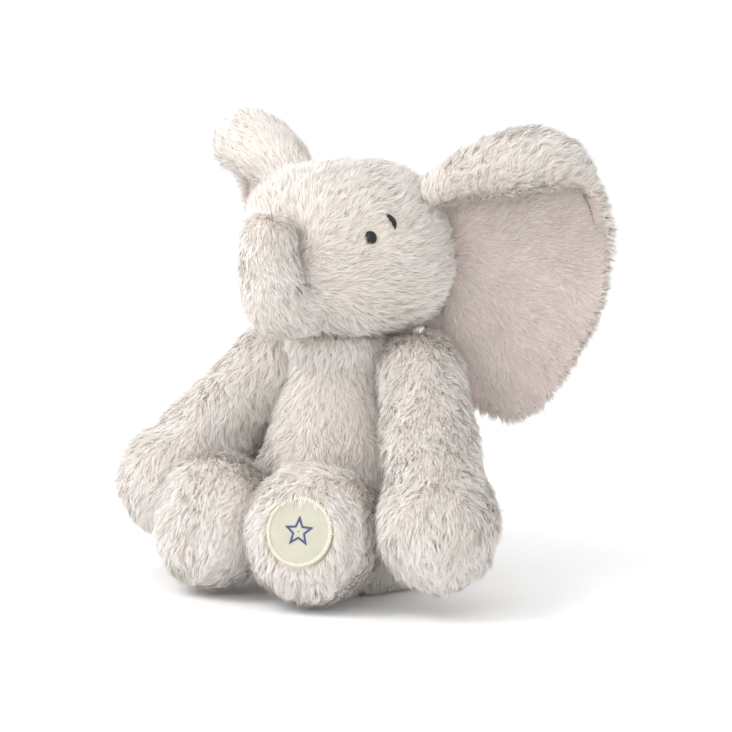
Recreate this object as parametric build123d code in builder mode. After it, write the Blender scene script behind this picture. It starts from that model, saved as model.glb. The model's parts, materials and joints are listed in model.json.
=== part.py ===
from build123d import *
from math import cos, radians, sin, sqrt
import os

# A seated plush elephant, in millimetres. The toy faces -Y, its own left side is +X, and the
# origin is the middle of the flat seat it sits on. Each solid is the outer form of one sewn
# piece with its pile pressed flat.

# ---- driving dimensions ------------------------------------------------------------------
wall = 3.0  # pile fabric: backing cloth and the pile that lies flat on it
gap = 0.3  # play between a sewn skin and the filling inside it

seat_r = 38.0  # flat underside of the torso
belly_r = 45.0
belly_z = 22.0
waist_r = 35.0
waist_z = 70.0
neck_r = 22.0  # top of the torso
torso_h = 112.0

head_a = 48.5  # half width of the head
head_b = 41.0  # half height of the head
head_y = 2.0
head_z = 163.0
neck_h = 5.7

muzzle = Vector(0, -31.5, 138)
muzzle_r = 17.5
trunk_low = Vector(0, -57, 141)  # middle of the rounded root, and of the rounded tip
trunk_high = Vector(0, -65.5, 175)
trunk_r = 11.5
trunk_play = 0.6

ear_sweep = 36.0  # how far each ear points back from straight sideways, in degrees
ear_root = Vector(46, 22.5, 0)
ear_gap = 6.0  # the root edge stands this far out, so the ear can flap
ear_panel = 3.0  # each of the two cloth panels
ear_lining = 3.0  # foam sheet between them
lining_share = 0.95  # the foam's size beside the panels'
ear_roll_r = 8.0  # rolled upper rim

shoulder_r = 12.5
paw_r = 26.0
left_shoulder = Vector(37.5, 4, 107)
left_paw = Vector(88, -41, 39)
right_shoulder = Vector(-37.5, 4, 107)
right_paw = Vector(-85, -30, 43)

hip_r = 18.0
hip_play = 0.6
foot_r = 31.0
hip = Vector(24, -40, 31)
sole_turn = 17.0  # each sole looks outwards by this, in degrees
sole_lift = 12.0  # and upwards by this
leg_len = 40.0  # hip centre to the front of the foot's skin
sole_r = 19.0
sole_t = 2.0

patch_r = 16.5
patch_t = 1.2
stitch_r = 15.0
star_r = 7.0
thread_t = 0.5

eye_r = 3.1
eye_angle = 49.0  # from straight ahead, round the head
eye_z = 174.0
brow_angle = 64.0
brow_z = 181.0
brow_len = 8.5
brow_w = 1.8
brow_tilt = -57.0
pad_t = 1.2  # satin-stitched eyes and brows stand this proud

pouch_a = 25.0  # half width of the pellet pouch in the seat
pouch_b = 9.0
pouch_y = 12.0
pouch_z = 18.0
cloth_t = 1.0  # plain woven cloth

tail_root = Vector(0, 48.5, 36)
tail_tip = Vector(0, 64, 16)
tail_r = 5.0

# ---- directions worked out from those ----------------------------------------------------
out = Vector(cos(radians(ear_sweep)), sin(radians(ear_sweep)), 0)
ear_facing = Vector(out.Y, -out.X, 0)
ear_plane = Plane(origin=ear_root, x_dir=out, z_dir=ear_facing)
roll_start = ear_root + out * 10 + ear_facing * 2 + Vector(0, 0, 190)
roll_end = ear_root + out * 46 + ear_facing * 2 + Vector(0, 0, 211)
flat = cos(radians(sole_lift))
sole_way = Vector(
    sin(radians(sole_turn)) * flat, -cos(radians(sole_turn)) * flat, sin(radians(sole_lift))
)
sole_side = sole_way.cross(Vector(0, 0, 1)).normalized()
sole_plane = Plane(origin=hip + sole_way * leg_len, x_dir=-sole_side, z_dir=sole_way)

trunk_radii = [(0, trunk_r), (0.5, trunk_r), (1, trunk_r - 0.5)]
arm_radii = [(0, shoulder_r), (0.3, 17), (0.6, 20), (1, paw_r)]
leg_radii = [(0, hip_r), (10, 24.5), (22, foot_r), (34, 28), (leg_len, sole_r + 1)]
tail_radii = [(0, 3.4), (0.6, 3.4), (1, tail_r)]

# ---- shared forms ------------------------------------------------------------------------
# Each limb is listed as (distance along its axis, radius), from the middle of its first rounded
# end to the middle of its last.


def limb(start, way, radii, inset=0.0, blunt=False):
    """A round limb with ball ends, or with a flat front where blunt, shrunk by inset."""
    first_r = radii[0][1] - inset
    last_r = radii[-1][1] - inset
    length = radii[-1][0] - inset * blunt
    points = [(0, first_r)] + [(s, r - inset) for s, r in radii[1:-1]] + [(length, last_r)]
    end_slope = (0.5, -1) if blunt else (1, 0)
    across = way.cross(Vector(1, 0, 0)).normalized()
    with BuildPart() as form:
        with BuildSketch(Plane(origin=start, x_dir=way, z_dir=across)):
            with BuildLine():
                CenterArc((0, 0), first_r, start_angle=180, arc_size=-90)
                Spline(points, tangents=[(1, 0), end_slope])
                if blunt:
                    Polyline((length, last_r), (length, 0), (-first_r, 0))
                else:
                    CenterArc((length, 0), last_r, start_angle=90, arc_size=-90)
                    Line((length + last_r, 0), (-first_r, 0))
            make_face()
        revolve(axis=Axis(start, way))
    return form.part


def between(start, end, radii, inset=0.0):
    """A limb from start to end: radii are (share of the way, radius)."""
    span = end - start
    stretched = [(share * span.length, r) for share, r in radii]
    return limb(start, span.normalized(), stretched, inset)


def pear(inset=0.0):
    """The torso's pear shape, from its flat seat to its flat top."""
    low = (seat_r - inset, inset)
    high = (neck_r - inset, torso_h - inset)
    with BuildPart() as form:
        with BuildSketch(Plane.XZ):
            with BuildLine():
                Line((0, inset), low)
                Spline(
                    [low, (belly_r - inset, belly_z), (waist_r - inset, waist_z), high],
                    tangents=[(1, 0.8), (-0.35, 1)],
                )
                Polyline(high, (0, torso_h - inset), (0, inset))
            make_face()
        revolve(axis=Axis.Z)
    return form.part


def oval(half_width, half_height, y, z):
    """A round cushion shape centred on the toy's middle plane."""
    with BuildPart() as form:
        Sphere(1.0)
        scale(by=(half_width, half_width, half_height))
    return form.part.moved(Location((0, y, z)))


def head_form(inset=0.0):
    """The head with its muzzle, and the hollow in the muzzle where the trunk is sewn on."""
    skull = oval(head_a - inset, head_b - inset, head_y, head_z)
    with BuildPart() as form:
        add(skull)
        with Locations(muzzle):
            Sphere(muzzle_r - inset)
        with Locations(trunk_low):
            Sphere(trunk_r + trunk_play + inset, mode=Mode.SUBTRACT)
    return form.part


def hip_balls(radius):
    """A ball round each hip, where the legs are sewn into the torso."""
    with BuildPart() as form:
        with Locations(hip, Vector(-hip.X, hip.Y, hip.Z)):
            Sphere(radius)
    return form.part


def head_plane(angle, z):
    """The plane that touches the head at an angle from straight ahead and a height."""
    ring = sqrt(1 - ((z - head_z) / head_b) ** 2)
    out = Vector(sin(radians(angle)), -cos(radians(angle)), 0)
    point = Vector(0, head_y, z) + out * (head_a * ring)
    normal = out * (ring / head_a) + Vector(0, 0, (z - head_z) / head_b**2)
    return Plane(origin=point, x_dir=(-out.Y, out.X, 0), z_dir=normal.normalized())


def fan_face(shrink=1.0):
    """The outline of an ear in its own plane: u runs outwards from the head, v is the height."""
    rim = [(-8, 194), (20, 212), (42, 221), (60, 209), (71, 184), (74, 157)]
    rim = rim + [(68, 128), (52, 100), (36, 86), (21, 92), (6, 112), (-8, 132)]
    middle = (40, head_z)
    rim = [tuple(m + shrink * (c - m) for c, m in zip(corner, middle)) for corner in rim]
    root_middle = (40 + shrink * (ear_gap - 40), head_z)
    with BuildSketch() as fan:
        with BuildLine():
            Spline(rim)
            ThreePointArc(rim[-1], root_middle, rim[0])
        make_face()
    return fan.sketch


def ear_sheet(back, thickness, shrink=1.0):
    """One layer of the left ear, from a depth behind its front face."""
    with BuildPart() as sheet:
        with BuildSketch(ear_plane.offset(-back - thickness)):
            add(fan_face(shrink))
        extrude(amount=thickness)
    return sheet.part


def keep(name, node):
    """Label a finished piece and write it."""
    node.part.label = name
    export_step(node.part, "parts/" + name + ".step")


def keep_pair(name, node):
    """Write a left piece and its mirror image on the toy's right."""
    keep(name.replace("SIDE", "left"), node)
    mirrored = mirror(node.part, about=Plane.YZ)
    with BuildPart() as other:
        add(mirrored)
    keep(name.replace("SIDE", "right"), other)


os.makedirs("parts", exist_ok=True)

# ---- torso: skin, filling, and the pellet pouch in the seat --------------------------------
recess_r = hip_r + hip_play
with BuildPart() as torso_shell:
    add(pear())
    add(hip_balls(recess_r), mode=Mode.SUBTRACT)
    cavity = pear(wall) - hip_balls(recess_r + wall)
    add(cavity, mode=Mode.SUBTRACT)
keep("torso_shell", torso_shell)

with BuildPart() as torso_filling:
    add(pear(wall + gap))
    add(hip_balls(recess_r + wall + gap), mode=Mode.SUBTRACT)
    add(oval(pouch_a + gap, pouch_b + gap, pouch_y, pouch_z), mode=Mode.SUBTRACT)
keep("torso_filling", torso_filling)

with BuildPart() as pellet_pouch:
    add(oval(pouch_a, pouch_b, pouch_y, pouch_z))
    add(oval(pouch_a - cloth_t, pouch_b - cloth_t, pouch_y, pouch_z), mode=Mode.SUBTRACT)
keep("pellet_pouch", pellet_pouch)

with BuildPart() as pellet_mass:
    add(oval(pouch_a - cloth_t - gap, pouch_b - cloth_t - gap, pouch_y, pouch_z))
keep("pellet_mass", pellet_mass)

# ---- neck: the gathered sleeve that the head turns and nods on ------------------------------
with BuildPart() as neck_sleeve:
    with BuildSketch(Plane.XY.offset(torso_h + gap)):
        Circle(neck_r - 4)
    extrude(amount=neck_h)
    fillet(neck_sleeve.faces().sort_by(Axis.Z)[-1].edges(), radius=2.5)
keep("neck_sleeve", neck_sleeve)

# ---- head, eyes and brows -------------------------------------------------------------------
head_skin = head_form()
head_cavity = head_form(wall)
with BuildPart() as head_shell:
    add(head_skin)
    add(head_cavity, mode=Mode.SUBTRACT)
keep("head_shell", head_shell)

with BuildPart() as head_filling:
    add(head_form(wall + gap))
keep("head_filling", head_filling)

with BuildPart() as eye:
    with BuildSketch(head_plane(eye_angle, eye_z)):
        Circle(eye_r)
    extrude(amount=pad_t, both=True)
    add(head_skin, mode=Mode.SUBTRACT)
keep_pair("eye_SIDE", eye)

with BuildPart() as brow:
    with BuildSketch(head_plane(brow_angle, brow_z)):
        SlotOverall(brow_len, brow_w, rotation=brow_tilt)
    extrude(amount=pad_t, both=True)
    add(head_skin, mode=Mode.SUBTRACT)
keep_pair("brow_SIDE", brow)

# ---- trunk ----------------------------------------------------------------------------------
with BuildPart() as trunk_shell:
    add(between(trunk_low, trunk_high, trunk_radii))
    add(between(trunk_low, trunk_high, trunk_radii, wall), mode=Mode.SUBTRACT)
keep("trunk_shell", trunk_shell)

with BuildPart() as trunk_filling:
    add(between(trunk_low, trunk_high, trunk_radii, wall + gap))
keep("trunk_filling", trunk_filling)

# ---- ears: two cloth panels with a foam sheet between them ----------------------------------
with BuildPart() as ear_front:
    add(ear_sheet(0, ear_panel))
    with BuildSketch(Plane(origin=roll_start, x_dir=(0, 0, 1), z_dir=roll_end - roll_start)):
        Circle(ear_roll_r)
    extrude(amount=(roll_end - roll_start).length)
    split(bisect_by=ear_plane.offset(-ear_panel), keep=Keep.TOP)
keep_pair("ear_SIDE_front", ear_front)

with BuildPart() as ear_lining_sheet:
    add(ear_sheet(ear_panel, ear_lining, lining_share))
keep_pair("ear_SIDE_lining", ear_lining_sheet)

with BuildPart() as ear_back:
    add(ear_sheet(ear_panel + ear_lining, ear_panel))
keep_pair("ear_SIDE_back", ear_back)

# ---- arms -----------------------------------------------------------------------------------
for name, shoulder, paw in (("left", left_shoulder, left_paw), ("right", right_shoulder, right_paw)):
    with BuildPart() as arm_shell:
        add(between(shoulder, paw, arm_radii))
        add(between(shoulder, paw, arm_radii, wall), mode=Mode.SUBTRACT)
    keep("arm_" + name + "_shell", arm_shell)
    with BuildPart() as arm_filling:
        add(between(shoulder, paw, arm_radii, wall + gap))
    keep("arm_" + name + "_filling", arm_filling)

# ---- legs and feet --------------------------------------------------------------------------
with BuildPart() as leg_shell:
    add(limb(hip, sole_way, leg_radii, 0, blunt=True))
    add(limb(hip, sole_way, leg_radii, wall, blunt=True), mode=Mode.SUBTRACT)
keep_pair("leg_SIDE_shell", leg_shell)

with BuildPart() as leg_filling:
    add(limb(hip, sole_way, leg_radii, wall + gap, blunt=True))
keep_pair("leg_SIDE_filling", leg_filling)

with BuildPart() as sole:
    with BuildSketch(sole_plane):
        Circle(sole_r)
    extrude(amount=sole_t)
    fillet(sole.faces().sort_by(Axis(hip, sole_way))[-1].edges(), radius=1.2)
keep_pair("sole_SIDE", sole)

# ---- round patch on the left sole: faux leather, its edge stitching and a plain star ---------
with BuildPart() as foot_patch:
    with BuildSketch(sole_plane.offset(sole_t)):
        Circle(patch_r)
    extrude(amount=patch_t)
keep("foot_patch", foot_patch)

with BuildPart() as patch_stitching:
    with BuildSketch(sole_plane.offset(sole_t + patch_t)):
        Circle(stitch_r + 0.6)
        Circle(stitch_r - 0.6, mode=Mode.SUBTRACT)
    extrude(amount=thread_t)
keep("patch_stitching", patch_stitching)

with BuildPart() as patch_star:
    with BuildSketch(sole_plane.offset(sole_t + patch_t)):
        with BuildLine():
            tips = [
                (r * sin(radians(36 * i)), r * cos(radians(36 * i)))
                for i, r in enumerate([star_r, 0.45 * star_r] * 5)
            ]
            Polyline(tips, close=True)
        make_face()
    extrude(amount=thread_t)
keep("patch_star", patch_star)

# ---- tail -----------------------------------------------------------------------------------
with BuildPart() as tail:
    add(between(tail_root, tail_tip, tail_radii))
keep("tail", tail)
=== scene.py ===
import json
from math import cos, pi, radians, sin

import bmesh
import bpy
import numpy as np
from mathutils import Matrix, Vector


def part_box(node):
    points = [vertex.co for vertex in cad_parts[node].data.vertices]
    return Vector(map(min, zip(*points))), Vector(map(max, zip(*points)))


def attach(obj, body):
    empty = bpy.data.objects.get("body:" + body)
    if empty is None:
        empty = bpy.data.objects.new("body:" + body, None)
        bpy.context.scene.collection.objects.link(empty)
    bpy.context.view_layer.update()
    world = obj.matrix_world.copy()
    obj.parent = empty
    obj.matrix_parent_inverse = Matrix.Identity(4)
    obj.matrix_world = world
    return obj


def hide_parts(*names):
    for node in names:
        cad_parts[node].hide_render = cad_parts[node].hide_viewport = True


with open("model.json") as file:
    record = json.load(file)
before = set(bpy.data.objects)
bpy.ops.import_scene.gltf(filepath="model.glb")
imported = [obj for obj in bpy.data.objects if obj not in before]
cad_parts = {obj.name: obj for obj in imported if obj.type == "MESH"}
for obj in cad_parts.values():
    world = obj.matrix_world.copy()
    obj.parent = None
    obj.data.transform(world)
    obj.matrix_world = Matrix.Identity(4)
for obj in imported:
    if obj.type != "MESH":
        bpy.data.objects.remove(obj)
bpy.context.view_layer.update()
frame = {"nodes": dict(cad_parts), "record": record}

# Everything below is worked out in millimetres and written to the meshes in metres.
MM = 0.001
PILE_SHARE = 1.0  # share of the pile's strands that is made
MOST_STRANDS = 66000  # in one piece
FLOOR_PRESS = 0.25  # pile lies pressed this far above the floor
STRAND_CHART = "OFBake"  # the UV layer of the strands

# ---- where the CAD says things are ---------------------------------------------------------


def cad_box_mm(node):
    low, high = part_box(node)
    return np.array(low) / MM, np.array(high) / MM


def joint_at(name):
    joint = next(j for j in frame["record"]["behaviour"]["joints"] if j["name"] == name)
    return np.array(joint["pos_m"]) / MM


SIGN = {"left": 1.0, "right": -1.0}
UP = np.array([0.0, 0.0, 1.0])
HEAD_LOW, HEAD_HIGH = cad_box_mm("head_shell")
HEAD = np.array([0.0, 2.0, 163.0])  # middle of the head
HEAD_A = (HEAD_HIGH[0] - HEAD_LOW[0]) / 2
HEAD_B = HEAD_HIGH[2] - HEAD[2]
TORSO_TOP = cad_box_mm("torso_shell")[1][2]
SHOULDER = {side: joint_at(f"arm_{side}_swing") for side in SIGN}
PAW = {"left": np.array([88.0, -41.0, 39.0]), "right": np.array([-85.0, -30.0, 43.0])}
HIP = {side: joint_at(f"leg_{side}_lift") for side in SIGN}
LEG_LENGTH = 42.0  # hip centre to the sole
SOLE_TURN = radians(17.0)
SOLE_LIFT = radians(12.0)
EAR_ROOT = np.array([46.0, 22.5, 0.0])
EAR_SWEEP = radians(36.0)
TAIL_ROOT = joint_at("tail_swing")

# ---- small numpy helpers -------------------------------------------------------------------


def unit(v):
    return v / np.maximum(np.linalg.norm(v, axis=-1, keepdims=True), 1e-9)


def tangent(v, n):
    """v with its part along the unit normals n taken away, at length 1."""
    return unit(v - (v * n).sum(-1, keepdims=True) * n)


def smooth(x, low, high):
    t = np.clip((x - low) / (high - low), 0, 1)
    return t * t * (3 - 2 * t)


def bump_at(points, middle, radius):
    """1 at middle, falling to 0 about two radii away."""
    return np.exp(-((np.linalg.norm(points - middle, axis=-1) / radius) ** 2))


def bumps_at(points, middle, radius):
    """The same bump on both sides of the toy."""
    return sum(bump_at(points, np.array(middle) * [sign, 1, 1], radius) for sign in (-1, 1))


def waves(points, size, seed, octaves=3):
    """A smooth random field from -1 to 1 with features of about size millimetres."""
    rng = np.random.default_rng(seed)
    total = np.zeros(len(points))
    weight = 0.0
    for octave in range(octaves):
        for _ in range(5):
            way = unit(rng.normal(size=3)) * (2 * pi / size) * 1.7**octave
            total += np.sin(points @ way + rng.uniform(0, 2 * pi)) / 1.6**octave
        weight += 5 / 1.6**octave
    return np.clip(total / weight * 2.2, -1, 1)


def catmull(points, count):
    """Points along a smooth curve that passes through the given ones."""
    p = np.asarray(points, float)
    p = np.vstack([2 * p[0] - p[1], p, 2 * p[-1] - p[-2]])
    spans = len(p) - 3
    t = np.linspace(0, spans, count)
    i = np.minimum(t.astype(int), spans - 1)
    f = (t - i)[:, None]
    a, b, c, d = p[i], p[i + 1], p[i + 2], p[i + 3]
    square = (2 * a - 5 * b + 4 * c - d) * f**2
    cube = (3 * b - a - 3 * c + d) * f**3
    return 0.5 * (2 * b + (c - a) * f + square + cube)


def distances(path):
    """How far along a path each of its points is."""
    return np.concatenate([[0], np.cumsum(np.linalg.norm(np.diff(path, axis=0), axis=1))])


class Skin:
    """A sewn surface: vertices in millimetres, its faces, and vertex normals."""

    def __init__(self, verts, faces):
        self.verts = np.asarray(verts, float)
        self.faces = [list(map(int, f)) for f in faces]
        self.update()

    def update(self):
        tris = [(f[0], f[i], f[i + 1]) for f in self.faces for i in range(1, len(f) - 1)]
        self.tris = np.array(tris)
        a, b, c = (self.verts[self.tris[:, k]] for k in range(3))
        self.cross = np.cross(b - a, c - a)
        self.area = np.linalg.norm(self.cross, axis=1) / 2
        normals = np.zeros_like(self.verts)
        for k in range(3):
            np.add.at(normals, self.tris[:, k], self.cross)
        self.normals = unit(normals)

    def move(self, amount):
        """Move each vertex along its normal."""
        self.verts = self.verts + self.normals * np.asarray(amount)[:, None]
        self.update()

    def sample(self, count, rng):
        """Random points on the surface with their normals."""
        share = np.cumsum(self.area) / self.area.sum()
        tri = np.searchsorted(share, rng.random(count))
        tri = np.minimum(tri, len(self.tris) - 1)
        r1 = np.sqrt(rng.random(count))[:, None]
        r2 = rng.random(count)[:, None]
        weights = np.hstack([1 - r1, r1 * (1 - r2), r1 * r2])
        corners = self.tris[tri]
        point = sum(self.verts[corners[:, k]] * weights[:, k : k + 1] for k in range(3))
        normal = sum(self.normals[corners[:, k]] * weights[:, k : k + 1] for k in range(3))
        return point, unit(normal)

    def nearest(self, point):
        """The vertex nearest a point, and its normal."""
        i = np.argmin(((self.verts - np.asarray(point)) ** 2).sum(1))
        return self.verts[i], self.normals[i]


def mirrored(skin):
    """The skin's mirror image on the other side of the toy."""
    return Skin(skin.verts * [-1, 1, 1], [f[::-1] for f in skin.faces])


def grid_faces(rows, cols, wrap=True):
    """Quads between the neighbouring points of a grid whose rows may close into rings."""
    faces = []
    for i in range(rows - 1):
        for j in range(cols if wrap else cols - 1):
            k = (j + 1) % cols
            faces.append([i * cols + j, i * cols + k, (i + 1) * cols + k, (i + 1) * cols + j])
    return faces


def lathe(profile, around, middle=(0.0, 0.0)):
    """A skin turned round an upright axis from (radius, height) points."""
    angle = np.linspace(0, 2 * pi, around, endpoint=False)
    rings = []
    for r, z in profile:
        ring = [middle[0] + r * np.cos(angle), middle[1] + r * np.sin(angle), np.full(around, z)]
        rings.append(np.stack(ring, axis=1))
    return Skin(np.vstack(rings), grid_faces(len(rings), around))


def tube(path, radii, around):
    """A round tube along a path, with one face across each end."""
    path = np.asarray(path, float)
    way = unit(np.gradient(path, axis=0))
    side = unit(np.cross(way[0], UP + [0.0, 0.31, 0.0]))
    angle = np.linspace(0, 2 * pi, around, endpoint=False)[:, None]
    rings = []
    for p, w, r in zip(path, way, radii):
        side = unit(side - (side @ w) * w)
        other = np.cross(w, side)
        rings.append(p + (np.cos(angle) * side + np.sin(angle) * other) * r)
    last = (len(path) - 1) * around
    faces = grid_faces(len(path), around)
    faces.append(list(range(around))[::-1])
    faces.append([last + j for j in range(around)])
    return np.vstack(rings), faces


def rounded_radii(distance, stations, start_r, end_r):
    """Radii along a limb whose two ends close as balls."""
    places, sizes = zip(*stations)
    radii = np.interp(distance, places, sizes)
    near = distance < start_r
    radii[near] = np.sqrt(np.maximum(start_r**2 - (start_r - distance[near]) ** 2, 0.01))
    left = distance[-1] - distance
    far = left < end_r
    radii[far] = np.sqrt(np.maximum(end_r**2 - (end_r - left[far]) ** 2, 0.01))
    return radii


# ---- meshes --------------------------------------------------------------------------------


def new_object(name, verts, faces, material):
    mesh = bpy.data.meshes.new(name)
    mesh.from_pydata((np.asarray(verts) * MM).tolist(), [], faces)
    mesh.update()
    mesh.materials.append(material)
    mesh.polygons.foreach_set("use_smooth", [True] * len(mesh.polygons))
    piece = bpy.data.objects.new(name, mesh)
    bpy.context.scene.collection.objects.link(piece)
    return piece


def strand_faces(mesh, count):
    """Each strand is a quad and then a triangle, on five vertices of its own."""
    base = np.arange(count) * 5
    quad = [base, base + 1, base + 3, base + 2]
    point = [base + 2, base + 3, base + 4]
    loops = np.stack(quad + point, axis=1).ravel()
    starts = np.stack([np.arange(count) * 7, np.arange(count) * 7 + 4], axis=1).ravel()
    mesh.loops.add(count * 7)
    mesh.loops.foreach_set("vertex_index", loops.astype(np.int32))
    mesh.polygons.add(count * 2)
    mesh.polygons.foreach_set("loop_start", starts.astype(np.int32))
    mesh.update(calc_edges=True)


def strand_chart(mesh, tone):
    """The strand's own chart: u is its tone, v how far along it is."""
    u = np.repeat(tone[:, None], 7, axis=1) + np.array([-1, 1, 1, -1, -1, 1, 0]) * 0.004
    v = np.tile([0.02, 0.02, 0.55, 0.55, 0.55, 0.55, 0.98], (len(tone), 1))
    chart = mesh.uv_layers.new(name=STRAND_CHART)
    chart.data.foreach_set("uv", np.stack([u, v], axis=-1).astype(np.float32).ravel())


def strands_object(name, points, side, width, shade, tone, material):
    """One mesh of bent, tapering strands. points is (strand, 3 stations, xyz), and shade is the
    normal each strand is lit with, as soft pile takes the light like the skin under it."""
    count = len(points)
    half = side * (width / 2)[:, None]
    verts = np.empty((count, 5, 3))
    verts[:, 0] = points[:, 0] - half
    verts[:, 1] = points[:, 0] + half
    verts[:, 2] = points[:, 1] - half * 0.8
    verts[:, 3] = points[:, 1] + half * 0.8
    verts[:, 4] = points[:, 2]
    mesh = bpy.data.meshes.new(name)
    mesh.vertices.add(count * 5)
    mesh.vertices.foreach_set("co", (verts * MM).astype(np.float32).ravel())
    strand_faces(mesh, count)
    strand_chart(mesh, tone)
    lit = mesh.attributes.new("custom_normal", "FLOAT_VECTOR", "POINT")
    lit.data.foreach_set("vector", np.repeat(shade, 5, axis=0).astype(np.float32).ravel())
    mesh.materials.append(material)
    piece = bpy.data.objects.new(name, mesh)
    bpy.context.scene.collection.objects.link(piece)
    return piece


# ---- materials -----------------------------------------------------------------------------


class Nodes:
    """A short way to write a node tree: each call adds a node and links what it is given."""

    def __init__(self, name):
        self.material = bpy.data.materials.new(name)
        self.material.use_nodes = True
        self.tree = self.material.node_tree
        self.tree.nodes.clear()

    def feed(self, socket, value):
        """Link a socket to another node's output, or set its own value."""
        if isinstance(value, bpy.types.NodeSocket):
            self.tree.links.new(value, socket)
        else:
            socket.default_value = value

    def add(self, kind, inputs=None, **settings):
        node = self.tree.nodes.new(kind)
        for key, value in settings.items():
            setattr(node, key, value)
        for key, value in (inputs or {}).items():
            self.feed(node.inputs[key], value)
        return node

    def object_place(self):
        return self.add("ShaderNodeTexCoord").outputs["Object"]

    def ramp(self, factor, stops):
        node = self.add("ShaderNodeValToRGB", {"Fac": factor})
        elements = node.color_ramp.elements
        while len(elements) < len(stops):
            elements.new(0.5)
        for element, (place, colour) in zip(elements, stops):
            element.position = place
            element.color = (*colour, 1)
        return node.outputs["Color"]

    def noise(self, vector, scale, detail=3.0, roughness=0.55):
        inputs = {"Vector": vector, "Scale": scale, "Detail": detail, "Roughness": roughness}
        return self.add("ShaderNodeTexNoise", inputs).outputs["Fac"]

    def cells(self, vector, scale):
        inputs = {"Vector": vector, "Scale": scale}
        return self.add("ShaderNodeTexVoronoi", inputs).outputs["Distance"]

    def bands(self, vector, scale, direction):
        inputs = {"Vector": vector, "Scale": scale}
        return self.add("ShaderNodeTexWave", inputs, bands_direction=direction).outputs["Fac"]

    def multiply(self, a, b):
        """Two colours multiplied."""
        node = self.add("ShaderNodeMix", data_type="RGBA", blend_type="MULTIPLY")
        for place, value in ((0, 1.0), (6, a), (7, b)):
            self.feed(node.inputs[place], value)
        return node.outputs[2]

    def math(self, operation, a, b, c=0.0):
        node = self.add("ShaderNodeMath", operation=operation)
        for place, value in enumerate((a, b, c)):
            self.feed(node.inputs[place], value)
        return node.outputs[0]

    def bump(self, height, strength, distance):
        inputs = {"Height": height, "Strength": strength, "Distance": distance}
        return self.add("ShaderNodeBump", inputs).outputs["Normal"]

    def finish(self, **inputs):
        named = {key.replace("_", " "): value for key, value in inputs.items()}
        shader = self.add("ShaderNodeBsdfPrincipled", named)
        self.add("ShaderNodeOutputMaterial", {"Surface": shader.outputs[0]})
        return self.material


def pile_material(name, dark, middle, light):
    """Plush fibres: the tone runs across the chart, and each fibre is painted darker towards its
    root, painted shade deep in the pile.
    """
    n = Nodes(name)
    chart = n.add("ShaderNodeUVMap", uv_map=STRAND_CHART).outputs["UV"]
    split = n.add("ShaderNodeSeparateXYZ", {"Vector": chart})
    # painted shade: each fibre darkens towards its root, standing in for the shade deep in the pile
    painted_root_shade = [(0.0, (0.80, 0.73, 0.67)), (0.45, (0.97, 0.955, 0.94)), (1.0, (1, 1, 1))]
    tone = n.ramp(split.outputs["X"], [(0.0, dark), (0.5, middle), (1.0, light)])
    depth = n.ramp(split.outputs["Y"], painted_root_shade)
    return n.finish(
        Base_Color=n.multiply(tone, depth),
        Roughness=0.85,
        Sheen_Weight=0.25,
        Sheen_Roughness=0.5,
        Specular_IOR_Level=0.2,
    )


def backing_material(name, colour, painted_gap_shade):
    """The cloth under the pile: fine fibre noise between the cloth's colour and a darker brown,
    painted shade for the gaps between the strands, over a broad change of tone.
    """
    n = Nodes(name)
    place = n.object_place()
    fine = n.noise(place, 2600.0, 2.0)
    broad = n.noise(place, 90.0, 3.0)
    # painted shade: the darker brown stands in for the shade in the gaps between the strands' roots
    shade = n.ramp(fine, [(0.25, painted_gap_shade), (0.75, colour)])
    tint = n.ramp(broad, [(0.3, (0.94, 0.93, 0.92)), (0.7, (1, 1, 1))])
    return n.finish(
        Base_Color=n.multiply(shade, tint),
        Roughness=0.95,
        Normal=n.bump(fine, 0.7, 0.0006),
        Specular_IOR_Level=0.15,
    )


def thread_material(name, colour, ridge, sheen=0.35):
    """Satin stitches: fine fibres with a soft silk gloss."""
    n = Nodes(name)
    fibres = n.noise(n.object_place(), 3500.0, 2.0)
    lighter = tuple(min(1.0, c * 1.6 + 0.004) for c in colour)
    return n.finish(
        Base_Color=n.ramp(fibres, [(0.3, colour), (0.8, lighter)]),
        Roughness=0.42,
        Normal=n.bump(fibres, 0.5, ridge * MM),
        Sheen_Weight=sheen,
    )


def leather_material():
    """Matt faux leather with a fine pebble grain."""
    n = Nodes("patch_leather")
    place = n.object_place()
    broad = n.noise(place, 120.0, 4.0)
    grain = n.math("MULTIPLY_ADD", broad, 0.6, n.cells(place, 1500.0))
    return n.finish(
        Base_Color=n.ramp(broad, [(0.25, (0.42, 0.405, 0.325)), (0.75, (0.50, 0.48, 0.395))]),
        Roughness=n.math("MULTIPLY_ADD", broad, 0.25, 0.38),
        Normal=n.bump(grain, 0.25, 0.00015),
    )


def fibre_material(name, colour, scale):
    """Loose filling fibre or foam."""
    n = Nodes(name)
    fluff = n.noise(n.object_place(), scale, 6.0, 0.7)
    return n.finish(
        Base_Color=n.ramp(fluff, [(0.3, tuple(c * 0.82 for c in colour)), (0.7, colour)]),
        Roughness=0.95,
        Normal=n.bump(fluff, 0.9, 0.002),
    )


def woven_material(name, colour):
    """Plain woven cloth: warp bands crossed by weft bands."""
    n = Nodes(name)
    place = n.object_place()
    weave = n.math("MULTIPLY", n.bands(place, 700.0, "X"), n.bands(place, 700.0, "Z"))
    return n.finish(
        Base_Color=n.ramp(weave, [(0.0, tuple(c * 0.7 for c in colour)), (0.6, colour)]),
        Roughness=0.9,
        Normal=n.bump(weave, 0.6, 0.0003),
    )


def pellet_material():
    """Small plastic pellets packed together, painted darker away from each pellet's middle: painted
    shade in the gaps between them.
    """
    n = Nodes("pellets")
    cells = n.cells(n.object_place(), 330.0)
    return n.finish(
        # painted shade: each pellet goes darker towards its edge, where the gaps between pellets are
        # shaded
        Base_Color=n.ramp(cells, [(0.0, (0.86, 0.86, 0.83)), (0.8, (0.5, 0.5, 0.48))]),
        Roughness=0.4,
        Normal=n.bump(n.math("SUBTRACT", 1.0, cells), 1.0, 0.001),
    )


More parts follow.
